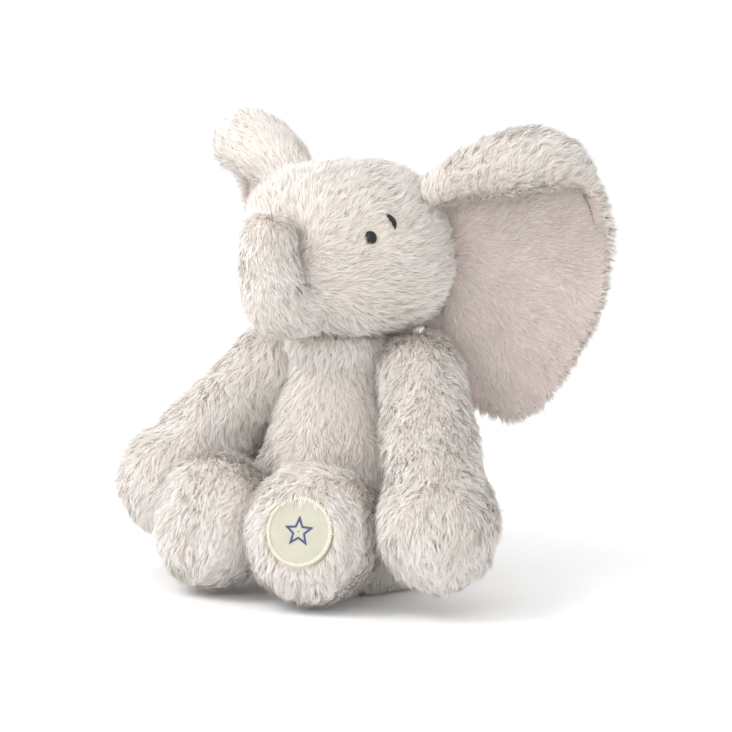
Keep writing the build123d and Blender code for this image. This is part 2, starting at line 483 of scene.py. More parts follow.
PILE = pile_material(
    "plush_pile", (0.84, 0.775, 0.715), (0.925, 0.885, 0.845), (0.965, 0.945, 0.92)
)
EAR_PILE = pile_material("ear_pile", (0.69, 0.60, 0.555), (0.79, 0.71, 0.67), (0.87, 0.81, 0.775))
# the darker second colour of each backing is painted shade for the gaps in the pile
BACKING = backing_material("plush_backing", (0.86, 0.79, 0.72), (0.76, 0.67, 0.59))
EAR_BACKING = backing_material("ear_backing", (0.76, 0.67, 0.62), (0.64, 0.55, 0.50))
BLACK_THREAD = thread_material("black_thread", (0.003, 0.0025, 0.0025), 0.05, 0.0)
NAVY_THREAD = thread_material("navy_thread", (0.030, 0.048, 0.135), 0.12)
CREAM_THREAD = thread_material("cream_thread", (0.72, 0.67, 0.52), 0.12)
LEATHER = leather_material()
FILLING = fibre_material("filling_fibre", (0.92, 0.92, 0.9), 260.0)
FOAM = fibre_material("lining_foam", (0.86, 0.83, 0.72), 900.0)

# ---- pile ----------------------------------------------------------------------------------

CELL_HASH = (73856093, 19349663, 83492791)  # one for each axis
JITTER_HASH = (40503, 30011, 52711)


def clumps(points, size, seed):
    """For each point, the nearest of a scattered set of clump centres: its place and a number."""
    cell = np.floor(points / size).astype(np.int64)
    best = np.full(len(points), 1e9)
    centre = np.zeros_like(points)
    number = np.zeros(len(points), np.int64)
    steps = [(dx, dy, dz) for dx in (-1, 0, 1) for dy in (-1, 0, 1) for dz in (-1, 0, 1)]
    for step in steps:
        c = cell + step
        h = seed
        for axis, prime in enumerate(CELL_HASH):
            h = h ^ (c[:, axis] * prime)
        h = h & 0x7FFFFFFF
        jitter = np.stack([((h * k) & 0xFFFF) / 65535.0 for k in JITTER_HASH], axis=1)
        place = (c + jitter) * size
        far = ((points - place) ** 2).sum(1)
        closer = far < best
        best = np.where(closer, far, best)
        centre[closer] = place[closer]
        number = np.where(closer, h, number)
    return centre, number


def clump_random(number, salt):
    """A repeatable number from 0 to 1 for each clump."""
    h = (number * 2654435761 + salt * 40503) & 0x7FFFFFFF
    h = (h ^ (h >> 13)) * 1274126177 & 0x7FFFFFFF
    return ((h ^ (h >> 11)) & 0xFFFFF) / 1048575.0


class Roots:
    """Where the strands of one pile grow, their clumps, and the pile's random numbers."""

    def __init__(self, skin, per_mm2, keep, clump, seed):
        self.seed = seed
        self.rng = np.random.default_rng(seed)
        most = min(int(skin.area.sum() * per_mm2 * PILE_SHARE), MOST_STRANDS)
        self.place, self.normal = skin.sample(most, self.rng)
        if keep is not None:
            kept = keep(self.place, self.normal)
            self.place = self.place[kept]
            self.normal = self.normal[kept]
        self.count = len(self.place)
        self.centre, self.number = clumps(self.place, clump, seed * 7919)

    def by_clump(self, salt):
        return clump_random(self.number, salt)

    def waves(self, size, step):
        return waves(self.place, size, self.seed + step)


def comb_way(roots, flow, mess):
    """The way each strand is combed along the skin."""
    comb = tangent(flow(roots.place, roots.normal), roots.normal)
    across = np.cross(roots.normal, comb)
    turn = roots.waves(26.0, 1) * 0.55 * mess
    turn += (roots.by_clump(1) - 0.5) * 0.7 * mess + roots.rng.normal(0, 0.16, roots.count)
    return comb * np.cos(turn)[:, None] + across * np.sin(turn)[:, None]


def lean_of(roots, lean):
    """How far each strand lies over: 0 stands up, 1 lies flat."""
    tilt = lean + roots.waves(15.0, 2) * 0.10 + (roots.by_clump(2) - 0.5) * 0.16
    return np.clip(tilt + roots.rng.normal(0, 0.07, roots.count), 0.15, 0.9)[:, None]


def length_of(roots, length, shorten):
    """The length of each strand, in waves, by clump and at random."""
    long = length * (1 + roots.waves(20.0, 3) * 0.10)
    long = long * (0.86 + 0.28 * roots.by_clump(3)) * roots.rng.uniform(0.72, 1.08, roots.count)
    if shorten is not None:
        long = long * shorten(roots.place)
    return long[:, None]


def bent_strands(roots, comb, tilt, long, gather, mess):
    """Root, middle and tip of each strand, with the tips of a clump drawn together."""
    place, normal = roots.place, roots.normal
    low = unit(normal * (1 - 0.75 * tilt) + comb * 0.75 * tilt)
    high = unit(normal * (1 - 1.2 * np.minimum(tilt, 0.8)) + comb * 1.2 * tilt)
    start = place - normal * 0.4
    middle = start + low * long * 0.5
    tip = middle + high * long * 0.5
    centre = roots.centre
    centre = centre - ((centre - place) * normal).sum(1, keepdims=True) * normal
    aim = centre + (tip - place)
    pull = gather * (0.6 + 0.4 * roots.by_clump(4))[:, None]
    tip = tip + (aim - tip) * pull
    middle = middle + (centre + (middle - place) - middle) * pull * 0.4
    curl = roots.rng.normal(0, 0.35 * mess, (roots.count, 3))
    points = np.stack([start, middle + curl, tip - curl * 0.6], axis=1)
    points[:, :, 2] = np.maximum(points[:, :, 2], FLOOR_PRESS)
    return points, tip - curl * 0.6 - start


def ribbon_side(roots, comb, along):
    """The way across each flat strand, turned so that its face looks outwards."""
    across = np.cross(roots.normal, comb)
    roll = roots.rng.normal(0, 0.6, roots.count)[:, None]
    side = unit(across * np.cos(roll) + roots.normal * np.sin(roll))
    facing = np.cross(side, along)
    return side * np.sign((facing * roots.normal).sum(1, keepdims=True) + 1e-9)


def lit_normal(roots, comb):
    """The normal each strand is lit with: the skin's, with a streak for each clump."""
    streak = 0.22 * comb * (roots.by_clump(6)[:, None] - 0.3)
    return unit(roots.normal + streak + roots.rng.normal(0, 0.12, (roots.count, 3)))


def tone_of(roots):
    """Where each strand falls between the pile's dark and light, from 0 to 1."""
    tone = 0.5 + roots.waves(38.0, 4) * 0.10 + (roots.by_clump(5) - 0.5) * 0.24
    return np.clip(tone + roots.rng.normal(0, 0.12, roots.count), 0.02, 0.98)


def grow_pile(
    name, skin, body, flow, material, per_mm2=3.6, length=7.6, width=0.26, lean=0.68,
    clump=2.7, gather=0.38, seed=1, keep=None, shorten=None, mess=1.0,
):
    """Cover a skin with strands that follow flow(points, normals), in clumps."""
    roots = Roots(skin, per_mm2, keep, clump, seed)
    comb = comb_way(roots, flow, mess)
    tilt = lean_of(roots, lean)
    long = length_of(roots, length, shorten)
    points, along = bent_strands(roots, comb, tilt, long, gather, mess)
    side = ribbon_side(roots, comb, along)
    shade = lit_normal(roots, comb)
    tone = tone_of(roots)
    wide = width / (PILE_SHARE**0.5) * roots.rng.uniform(0.75, 1.15, roots.count)
    piece = strands_object(name, points, side, wide, shade, tone, material)
    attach(piece, body)


def skin_piece(name, skin, body, material, slot, fill, *replaced):
    """A skin, or what fills it, in place of one or more CAD nodes."""
    piece = new_object(name, skin.verts, skin.faces, material)
    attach(piece, body)
    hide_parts(*replaced)


def trim_piece(name, verts, faces, body, material, node):
    """A stitched or leather piece in place of one CAD node."""
    piece = new_object(name, verts, faces, material)
    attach(piece, body)
    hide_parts(node)


# ---- torso ---------------------------------------------------------------------------------

TORSO_PROFILE = [
    (0.0, 1.2), (14.0, 0.9), (28.0, 1.0), (36.5, 2.6), (42.0, 8.0), (44.8, 17.0), (45.0, 26.0),
    (43.0, 40.0), (39.0, 55.0), (34.6, 70.0), (30.2, 85.0), (26.4, 98.0), (24.0, 107.0),
    (20.0, 113.5), (12.0, 116.5), (0.05, 117.0),
]
LEG_COVER = 17.0  # radius round the hip that the leg hides
SEAT_RADIUS = 30.0  # the part of the seat that only the floor sees


def torso_skin():
    skin = lathe(np.maximum(catmull(TORSO_PROFILE, 70), 0.02), 96)
    v = skin.verts
    free = smooth(v[:, 2], 8, 30) * (1 - smooth(v[:, 2], 100, 112))
    belly = bump_at(v, np.array([0, -40, 42]), 26) * 2.0
    flanks = bumps_at(v, [40.0, -10.0, 54.0], 20) * 3.6
    skin.move(free * (belly + flanks + waves(v, 34.0, 11) * 0.9))
    return skin


def torso_flow(p, n):
    """Down, and a little away from the middle."""
    return np.broadcast_to([0.0, 0.0, -1.0], p.shape) + 0.25 * p * [1, 1, 0] / 40


def outside_the_legs(p, n):
    """Pile that the legs, the neck and the floor don't cover."""
    clear = p[:, 2] < TORSO_TOP + 2
    for side in SIGN:
        clear &= np.linalg.norm(p - HIP[side], axis=1) > LEG_COVER
    under_the_seat = (p[:, 2] < 1.5) & (np.hypot(p[:, 0], p[:, 1]) < SEAT_RADIUS)
    return clear & ~under_the_seat


torso = torso_skin()
skin_piece("torso_skin", torso, "torso", BACKING, "plush", 0.75, "torso_shell")
grow_pile("torso_pile", torso, "torso", torso_flow, PILE, keep=outside_the_legs, seed=21)

# ---- neck ----------------------------------------------------------------------------------

COLLAR_PROFILE = [
    (18, 106), (23, 107.5), (25.5, 111), (26.5, 116), (26, 121), (22, 125), (17, 126)
]
COLLAR_FOLDS = 22


def neck_skin():
    """A gathered collar between the torso and the head."""
    around, rows = 72, 20
    skin = lathe(catmull(COLLAR_PROFILE, rows), around, middle=(0.0, 1.0))
    angle = np.linspace(0, 2 * pi, around, endpoint=False)
    skin.move(0.5 * np.sin(np.tile(angle * COLLAR_FOLDS, rows)))
    return skin


neck = neck_skin()
skin_piece("neck_skin", neck, "neck", BACKING, "plush", 0.6, "neck_sleeve")
grow_pile("neck_pile", neck, "neck", torso_flow, PILE, seed=25, length=7.5, lean=0.6)

# ---- head ----------------------------------------------------------------------------------

SQUARENESS = 2.35  # of the head's cross-sections: 2 would be an ellipsoid
EYE_DENT = 1.6
COMB_FROM = np.array([0.0, -62.0, 150.0])  # in front of the muzzle
EYE_CLEAR = 3.7  # no strand grows this near to the middle of an eye
BROW_CLEAR = 1.9
BROW_HALF = 3.6  # half of the length of a brow's middle line


def ball(subdivisions):
    b = bmesh.new()
    bmesh.ops.create_icosphere(b, subdivisions=subdivisions, radius=1.0)
    verts = np.array([v.co[:] for v in b.verts])
    faces = [[v.index for v in f.verts] for f in b.faces]
    b.free()
    return verts, faces


def head_skin():
    verts, faces = ball(6)
    v = verts / (np.abs(verts) ** SQUARENESS).sum(1, keepdims=True) ** (1 / SQUARENESS)
    v = HEAD + v * [HEAD_A - 0.5, HEAD_A - 2.0, HEAD_B - 0.5]
    skin = Skin(v, faces)
    cheeks = bumps_at(v, [41.0, 0.0, 148.0], 24) * 4.2
    muzzle = bump_at(v, np.array([0, -44, 144]), 20) * 5.0
    forehead = bumps_at(v, [24.0, -38.0, 186.0], 16) * 1.2
    skin.move(cheeks + muzzle + forehead + waves(v, 42.0, 5) * 0.7)
    return skin


def on_the_head(skin, angle, height, side):
    """The skin's vertex at an angle from straight ahead and a height."""
    ring = (1 - ((height - HEAD[2]) / HEAD_B) ** 2) ** 0.5
    a = radians(angle)
    place = HEAD + [HEAD_A * ring * sin(a), -HEAD_A * ring * cos(a), height - HEAD[2]]
    return skin.nearest(place * [SIGN[side], 1, 1])[0]


def head_flow(p, n):
    """Away from a place in front of the muzzle."""
    return p - COMB_FROM


def from_brow(p, side):
    """Distance from the middle line of a brow."""
    level = BROW[side] - HEAD
    along = unit(np.cross(UP, level)) * SIGN[side] * 0.55 - UP * 0.84
    share = np.clip((p - BROW[side]) @ along, -BROW_HALF, BROW_HALF)
    return np.linalg.norm(p - BROW[side] - share[:, None] * along, axis=1)


def round_the_eyes(p, n):
    """Pile that leaves the eyes and brows clear."""
    clear = np.ones(len(p), bool)
    for side in SIGN:
        clear &= np.linalg.norm(p - EYE[side], axis=1) > EYE_CLEAR
        clear &= from_brow(p, side) > BROW_CLEAR
    return clear


def near_the_eyes(p):
    """How much of its length a strand keeps: less towards the eyes and brows."""
    near = np.full(len(p), 1.0)
    for side in SIGN:
        near *= 1 - 0.72 * bump_at(p, EYE[side], 7.5)
        near *= 1 - 0.6 * np.exp(-((from_brow(p, side) / 5.0) ** 2))
    return near


head = head_skin()
EYE = {side: on_the_head(head, 51.0, 173.2, side) for side in SIGN}
BROW = {side: on_the_head(head, 65.5, 179.6, side) for side in SIGN}
for side in SIGN:
    dent = bump_at(head.verts, EYE[side], 7.0) + 0.8 * bump_at(head.verts, BROW[side], 6.0)
    head.move(-EYE_DENT * dent)
EYE = {side: head.nearest(EYE[side])[0] for side in SIGN}
BROW = {side: head.nearest(BROW[side])[0] for side in SIGN}
skin_piece("head_skin", head, "head", BACKING, "plush", 0.85, "head_shell")
grow_pile(
    "head_pile", head, "head", head_flow, PILE,
    keep=round_the_eyes, shorten=near_the_eyes, seed=31, length=8.0, lean=0.66,
)

# ---- eyes and brows ------------------------------------------------------------------------

THREADS = 14.0  # how closely the satin stitches lie
STITCH_RIDGE = 0.09


def satin_pad(name, outline, near, lift, rise, node):
    """A padded satin-stitch shape, lifted off the head's skin near a place. Its outline is
    (x, y) in the plane that touches the head there."""
    place, normal = head.nearest(near)
    origin = place + normal * lift
    right = unit(np.cross(UP, normal))
    up = np.cross(normal, right)
    middle = outline.mean(0)
    rows = 9
    rings = []
    for i in range(rows):
        share = 1 - i / (rows - 1)
        height = rise * (1 - share**2.4) - 0.9 * (i == 0)
        flat = middle + (outline - middle) * share
        ridge = STITCH_RIDGE * np.sin(flat @ [0.94 * THREADS, 0.34 * THREADS]) * (0 < i)
        out = (height + ridge)[:, None] * normal
        rings.append(origin + flat[:, :1] * right + flat[:, 1:] * up + out)
    faces = grid_faces(rows, len(outline))
    trim_piece(name, np.vstack(rings), faces, "head", BLACK_THREAD, node)


def eye_outline():
    turn = np.linspace(0, 2 * pi, 40, endpoint=False)
    return np.stack([3.2 * np.cos(turn), 3.4 * np.sin(turn)], axis=1)


def brow_outline(side):
    """A crescent, thickest in its middle, that bows outwards."""
    sweep = np.linspace(-1, 1, 16)
    bow = np.stack([sweep * 1.7 - 1.5 * sweep**2 + 0.7, -sweep * 4.0], axis=1)
    thick = 1.15 * np.sqrt(np.maximum(1 - sweep**2, 0.02))[:, None] * [1.0, 0.45]
    crescent = np.vstack([bow + thick, (bow - thick)[::-1]]) * [SIGN[side], 1]
    return crescent if side == "left" else crescent[::-1]


for side in SIGN:
    satin_pad(f"eye_{side}_pad", eye_outline(), EYE[side], 0.8, 1.9, f"eye_{side}")
    satin_pad(f"brow_{side}_pad", brow_outline(side), BROW[side], 1.5, 1.1, f"brow_{side}")

# ---- trunk ---------------------------------------------------------------------------------

TRUNK_CURVE = catmull(
    [[0, -33, 149], [0, -44, 143.5], [0, -53, 146.5], [0, -57, 158], [0, -58, 170], [0, -57.5, 184]],
    60,
)
TRUNK_WAY = unit(np.gradient(TRUNK_CURVE, axis=0))
TRUNK_RADII = [21, 17.0, 13.6, 11.8, 11.2]  # evenly along the trunk
TRUNK_TIP_R = 8.0
CLOTH = 3.3  # a cloth's thickness and a little play


def trunk_skin():
    distance = distances(TRUNK_CURVE)
    length = distance[-1]
    radii = np.interp(distance / length, [0, 0.25, 0.5, 0.75, 1.0], TRUNK_RADII)
    left = length - distance
    far = left < TRUNK_TIP_R
    radii[far] *= np.sqrt(np.maximum(1 - ((TRUNK_TIP_R - left[far]) / TRUNK_TIP_R) ** 2, 0.002))
    skin = Skin(*tube(TRUNK_CURVE, radii, 56))
    skin.move(waves(skin.verts, 24.0, 8) * 0.5)
    return skin


def trunk_flow(p, n):
    """Back along the trunk, and outwards over its tip."""
    nearest = np.argmin(((p[:, None, :] - TRUNK_CURVE[None]) ** 2).sum(-1), axis=1)
    over_the_tip = smooth(p[:, 2], 176, 183)[:, None] * (p - TRUNK_CURVE[-1]) * [0.12, 0.12, 0]
    return -TRUNK_WAY[nearest] + over_the_tip + [0, 0.0, -0.2]


def outside_the_head(p, n):
    return np.linalg.norm((p - HEAD) / [HEAD_A + 2, HEAD_A, HEAD_B + 2], axis=1) > 1.0


trunk = trunk_skin()
trunk_core = Skin(trunk.verts - trunk.normals * CLOTH, trunk.faces)
skin_piece("trunk_skin", trunk, "trunk", BACKING, "plush", 0.9, "trunk_shell")
skin_piece("trunk_core", trunk_core, "trunk", FILLING, "filling", 0.9, "trunk_filling")
grow_pile(
    "trunk_pile", trunk, "trunk", trunk_flow, PILE,
    keep=outside_the_head, seed=41, length=6.5, lean=0.7, clump=2.8,
)

# ---- ears ----------------------------------------------------------------------------------

EAR_OUT = np.array([cos(EAR_SWEEP), sin(EAR_SWEEP), 0.0])
EAR_FACE = np.array([sin(EAR_SWEEP), -cos(EAR_SWEEP), 0.0])
EAR_MIDDLE = EAR_ROOT + UP * 162 - EAR_OUT * 10
EAR_THICK = 5.5
EAR_START = -12  # the ear begins inside the head
EAR_SPAN = 86.3  # from there to its outer rim
# (distance from the ear's root, height) along its top and its bottom edge
EAR_TOP = [
    (-12, 193), (6, 205), (22, 213.5), (40, 218), (56, 211), (67, 194), (73, 174), (74.5, 157)
]
EAR_BOTTOM = [
    (-12, 118), (-4, 106), (9, 91), (30, 83), (48, 95), (63, 119), (72, 140), (74.5, 157)
]
ROLL_ROWS = 30
SHEET_ROWS = 42


def roll_radius(u):
    """Radius of the rolled top edge."""
    places = [-8, 4, 18, 34, 48, 58, 68, 75]
    return np.interp(u, places, [6.0, 7.5, 11.0, 13.0, 11.5, 8.0, 4.0, 0.8])


def roll_turn(u):
    """How far the top edge is rolled over, as an angle."""
    return np.interp(u, [-8, 20, 50, 66, 75], [3.9, 4.1, 3.9, 3.0, 1.6])


def ear_section(u, high, low):
    """(depth towards the front, height) from the rolled lip down to the bottom rim, at a
    distance u from the root. The fan is cupped: its rims come forwards."""
    roll = min(roll_radius(u), (high - low) / 4)
    turn = np.linspace(roll_turn(u), 0, ROLL_ROWS)
    curl = np.stack([roll - roll * np.cos(turn), high - roll + roll * np.sin(turn)], axis=1)
    down = np.linspace(0, 1, SHEET_ROWS)[1:]
    sheet = np.stack([np.zeros(len(down)), high - roll + (low - high + roll) * down], axis=1)
    section = np.vstack([curl, sheet])
    far = np.clip((u - 12) / 60, 0, 1) ** 2 + ((section[:, 1] - 152) / 66) ** 2 * 0.6
    cup = 10.0 * np.clip(far, 0, 1.2) - 5.0 - 2.0 * (u < 0)
    section[:, 0] += cup
    return section


def ear_sections():
    """Vertical cross-sections of the ear's middle sheet, from its root to its outer rim."""
    top = catmull(EAR_TOP, 200)
    bottom = catmull(EAR_BOTTOM, 200)
    outward = EAR_START + EAR_SPAN * np.sin(np.linspace(0, pi / 2, 46))
    high = np.interp(outward, top[:, 0], top[:, 1])
    low = np.interp(outward, bottom[:, 0], bottom[:, 1])
    return outward, np.array([ear_section(*row) for row in zip(outward, high, low)])


def half_thickness(sections):
    """Half of the ear's thickness, which falls to nothing at its edges."""
    rows, cols, _ = sections.shape
    edge = np.clip(np.minimum(np.arange(cols), np.arange(cols)[::-1]) / 4.0, 0, 1)
    rim = np.sqrt(edge * (2 - edge))
    end = np.clip((rows - 1 - np.arange(rows)) / 5.0, 0, 1) ** 0.5
    half = EAR_THICK / 2 * rim[None, :, None] * end[:, None, None]
    return half * (1 + 0.5 * smooth(sections[:, :, 1:], 195, 205))


def flat_list(v):
    return v.reshape(-1, 3)


def ear_skins():
    """The left ear's front and back sheets, a thickness apart, and the foam between them."""
    outward, sections = ear_sections()
    rows, cols, _ = sections.shape
    sheet = EAR_ROOT + outward[:, None, None] * EAR_OUT
    middle = sheet + sections[:, :, :1] * EAR_FACE + sections[:, :, 1:] * UP
    facing = unit(np.cross(np.gradient(middle, axis=0), np.gradient(middle, axis=1)))
    half = half_thickness(sections)
    faces = grid_faces(rows, cols, wrap=False)
    one = Skin(flat_list(middle + facing * half), faces)
    if (one.normals * flat_list(facing)).sum() < 0:
        faces = [f[::-1] for f in faces]
        one = Skin(one.verts, faces)
    other = Skin(flat_list(middle - facing * half), [f[::-1] for f in faces])
    foam_sides = [flat_list(middle + facing * half * share) for share in (0.4, -0.4)]
    count = rows * cols
    foam = Skin(np.vstack(foam_sides), faces + [[i + count for i in f[::-1]] for f in faces])
    fan = (one.verts[:, 2] < 180) & (one.verts[:, 2] > 110)
    if one.normals[fan].mean(0) @ EAR_FACE < 0:
        one, other = other, one
    return one, other, foam


def ear_flow(p, n):
    """Away from the ear's root."""
    out = np.abs(p) - EAR_MIDDLE
    out[:, 0] *= np.sign(p[:, 0])
    return out


def outside_head_ball(p, n):
    return np.linalg.norm((p - HEAD) / [HEAD_A, HEAD_A, HEAD_B], axis=1) > 0.97


def make_ear(side, front, back, foam):
    body = f"ear_{side}"
    skin_piece(f"{body}_front_skin", front, body, EAR_BACKING, "ear_plush", 0.3, f"{body}_front")
    skin_piece(f"{body}_back_skin", back, body, BACKING, "plush", 0.3, f"{body}_back")
    skin_piece(f"{body}_foam", foam, body, FOAM, "foam", 1.0, f"{body}_lining")
    grow_pile(
        f"{body}_front_pile", front, body, ear_flow, EAR_PILE,
        keep=outside_head_ball, seed=51, length=5.2, lean=0.84, clump=2.6, per_mm2=3.2, mess=0.7,
    )
    grow_pile(
        f"{body}_back_pile", back, body, ear_flow, PILE,
        keep=outside_head_ball, seed=61, length=7.6, lean=0.68, per_mm2=3.0,
    )


left_ear = ear_skins()
make_ear("left", *left_ear)
make_ear("right", *[mirrored(skin) for skin in left_ear])

# ---- arms ----------------------------------------------------------------------------------

SHOULDER_R = 18.4
PAW_R = 26.4
WRIST = 0.68  # share of the way from the shoulder to the paw
ARM_PLACES = [0, 0.1, 0.3, 0.45, 0.56, 0.66, 0.76, 1.0]  # share of the arm's length
ARM_RADII = [SHOULDER_R, SHOULDER_R, 19.0, 20.5, 22.0, 23.4, PAW_R, PAW_R]
ARM_SEED = {"left": 71, "right": 72}
ARM_WAVES = {"left": 17, "right": 18}


def arm_curve(start, paw, side):
    """The middle line of an arm, from inside the shoulder to the end of the paw."""
    way = unit(paw - start)
    bend = np.array([SIGN[side] * 3.2, 1.0, 2.4])
    upper = start + (paw - start) * 0.35 + bend
    lower = start + (paw - start) * 0.7 + bend * 0.4
    top = [start - way * 13.0, start + bend * 0.8]
    return catmull([*top, upper, lower, paw, paw + way * 24.0], 80)


def arm_skin(side):
    start = SHOULDER[side]
    paw = PAW[side]
    path = arm_curve(start, paw, side)
    distance = distances(path)
    stations = list(zip(np.array(ARM_PLACES) * distance[-1], ARM_RADII))
    skin = Skin(*tube(path, rounded_radii(distance, stations, SHOULDER_R, PAW_R), 56))
    v = skin.verts
    front = unit(np.array([SIGN[side] * 0.45, -0.88, 0.1]))
    inner = unit(np.array([-SIGN[side] * 0.75, -0.6, 0.0]))
    wrist = start + (paw - start) * WRIST
    dimple = bump_at(v, paw + front * 25 + UP * 6, 7.0)
    crease = bump_at(v, wrist + front * 20, 8.0)
    crease += bump_at(v, wrist + inner * 20, 8.0)
    skin.move(waves(v, 30.0, ARM_WAVES[side]) * 1.1 - dimple * 2.5 - crease * 2.0)
    return skin


def make_arm(side):
    body = f"arm_{side}"
    arm = arm_skin(side)
    paw = PAW[side]
    way = unit(paw - SHOULDER[side])

    def arm_flow(p, n):
        return 0.4 * way + 0.35 * unit(p - paw) * [0.4, 0.4, 1.0] - 0.85 * UP

    skin_piece(f"{body}_skin", arm, body, BACKING, "plush", 0.7, f"{body}_shell")
    grow_pile(f"{body}_pile", arm, body, arm_flow, PILE, seed=ARM_SEED[side])


for side in SIGN:
    make_arm(side)

# ---- legs and feet -------------------------------------------------------------------------

# (distance from the hip towards the sole, radius)
LEG_PROFILE = [
    (-17.5, 0.05), (-15, 8.5), (-9, 15.0), (0, 18.5), (8, 24.0), (15, 29.0), (23, 31.2),
    (31, 30.2), (37, 26.5), (40.8, 21.5), (42.2, 16.5), (42.6, 10.0), (42.8, 0.05),
]
LEG_SEED = {"left": 81, "right": 82}
LEG_WAVES = {"left": 19, "right": 23}
SOLE_SEAM_R = 24.0
SOLE_SEAM_WIDTH = 2.2
LEG_REST = 3.2  # the skin of a leg lies this far above the floor, on its pile
PATCH_COVER = 16.2  # no pile grows this near to the middle of the patched sole


def sole_way(side):
    """The way a sole faces."""
    level = cos(SOLE_LIFT)
    return np.array([SIGN[side] * sin(SOLE_TURN) * level, -cos(SOLE_TURN) * level, sin(SOLE_LIFT)])


def leg_skin(side):
    way = sole_way(side)
    start = HIP[side]
    rows = 70
    curve = catmull(LEG_PROFILE, rows)
    # a hundredth of a millimetre keeps the path going forwards where the profile doesn't
    path = start + curve[:, :1] * way + np.linspace(0, 0.01, rows)[:, None] * way
    skin = Skin(*tube(path, np.maximum(curve[:, 1], 0.02), 64))
    v = skin.verts
    off_floor = smooth(v[:, 2], 8, 26)
    from_sole = np.linalg.norm(v - start - LEG_LENGTH * way, axis=1)
    seam = np.exp(-(((from_sole - SOLE_SEAM_R) / SOLE_SEAM_WIDTH) ** 2))
    skin.move(off_floor * waves(v, 28.0, LEG_WAVES[side]) - seam * 0.9)
    skin.verts[:, 2] = np.maximum(skin.verts[:, 2], LEG_REST)
    skin.update()
    return skin


def make_leg(side):
    body = f"leg_{side}"
    way = sole_way(side)
    leg = leg_skin(side)
    sole = HIP[side] + way * LEG_LENGTH
    aside = np.cross(way, UP) * SIGN[side] * 0.8

    def leg_flow(p, n):
        """Down the sole, towards the sole on the sides and sideways on top."""
        from_sole = p - sole
        facing = smooth((n @ way), 0.4, 0.9)[:, None]
        spread = from_sole / np.maximum(np.linalg.norm(from_sole, axis=1, keepdims=True), 14.0)
        on_top = smooth(n[:, 2:3], 0.55, 0.95)
        on_side = way * (0.7 - 0.5 * on_top) + aside * on_top - UP * 0.75
        return (1 - facing) * on_side + facing * (spread * 0.3 - UP * 0.9)

    def off_the_patch(p, n):
        clear = (p - HIP[side]) @ way > -6
        if side == "left":
            clear &= np.linalg.norm(p - sole, axis=1) > PATCH_COVER
        return clear

    skin_piece(f"{body}_skin", leg, body, BACKING, "plush", 0.85, f"{body}_shell", f"sole_{side}")
    grow_pile(
        f"{body}_pile", leg, body, leg_flow, PILE,
        keep=off_the_patch, seed=LEG_SEED[side], length=7.5,
    )


for side in SIGN:
    make_leg(side)

# ---- tail ----------------------------------------------------------------------------------

TAIL_R = 3.2
TUFT_R = 4.6


def tail_skin():
    tip = TAIL_ROOT + [0, 15, -20]
    upper = [TAIL_ROOT + [0, -5, 3], TAIL_ROOT, TAIL_ROOT + [0, 8, -8]]
    path = catmull([*upper, tip, tip + [0, 2, -4.5]], 50)
    distance = distances(path)
    whole = distance[-1]
    stations = [(0, TAIL_R), (whole * 0.6, 3.3), (whole * 0.85, TUFT_R), (whole, TUFT_R)]
    return Skin(*tube(path, rounded_radii(distance, stations, TAIL_R, TUFT_R), 24))


def tail_flow(p, n):
    return np.broadcast_to([0, 0.6, -0.8], p.shape)


tail = tail_skin()
skin_piece("tail_skin", tail, "tail", BACKING, "plush", 0.8, "tail")
grow_pile(
    "tail_pile", tail, "tail", tail_flow, PILE,
    seed=91, length=6.0, per_mm2=3.0, clump=2.2,
)

# ---- patch on the left sole ----------------------------------------------------------------

PATCH_WAY = sole_way("left")
PATCH_RIGHT = unit(np.cross(UP, PATCH_WAY))
PATCH_UP = np.cross(PATCH_WAY, PATCH_RIGHT)
PATCH_MIDDLE = HIP["left"] + PATCH_WAY * 43.2
PATCH_R = 16.5
# (share of the radius, height) from the hidden edge, over the pressed rim, to the middle
PATCH_SECTION = [
    (1.0, -0.8), (1.0, 0.3), (0.985, 0.75), (0.94, 0.9), (0.9, 0.7), (0.8, 0.95),
    (0.6, 1.25), (0.4, 1.4), (0.2, 1.5), (0.02, 1.5),
]
EDGE_STITCHES = 88
EDGE_OUTER_R = 16.6
EDGE_INNER_R = 14.6
STITCH_RISE = 0.35
STAR_TIP_R = 7.4
STAR_NOTCH_R = 3.3
STAR_ROWS = 13  # threads along each side of the star


def on_the_patch(flat, height):
    """Places in the toy for (x, y) points in the patch's plane, raised by a height."""
    return PATCH_MIDDLE + flat[:, :1] * PATCH_RIGHT + flat[:, 1:2] * PATCH_UP + height * PATCH_WAY


def patch_leather():
    around = 72
    turn = np.linspace(0, 2 * pi, around, endpoint=False)
    circle = np.stack([np.cos(turn), np.sin(turn)], axis=1) * PATCH_R
    rings = [on_the_patch(circle * share, height) for share, height in PATCH_SECTION]
    trim_piece(
        "foot_patch_leather", np.vstack(rings), grid_faces(len(rings), around),
        "leg_left", LEATHER, "foot_patch",
    )


def stitch(start, end, base, count):
    """One thread that arches over the leather: its places from start to end."""
    share = np.linspace(0, 1, count)[:, None]
    return on_the_patch(start + (end - start) * share, base + STITCH_RISE * np.sin(pi * share))


def thread_piece(name, lines, radius, material, node):
    """All threads of one colour as one piece."""
    all_verts = []
    all_faces = []
    for line in lines:
        verts, faces = tube(line, np.full(len(line), radius), 6)
        offset = sum(len(v) for v in all_verts)
        all_verts.append(verts)
        all_faces += [[i + offset for i in f] for f in faces]
    trim_piece(name, np.vstack(all_verts), all_faces, "leg_left", material, node)


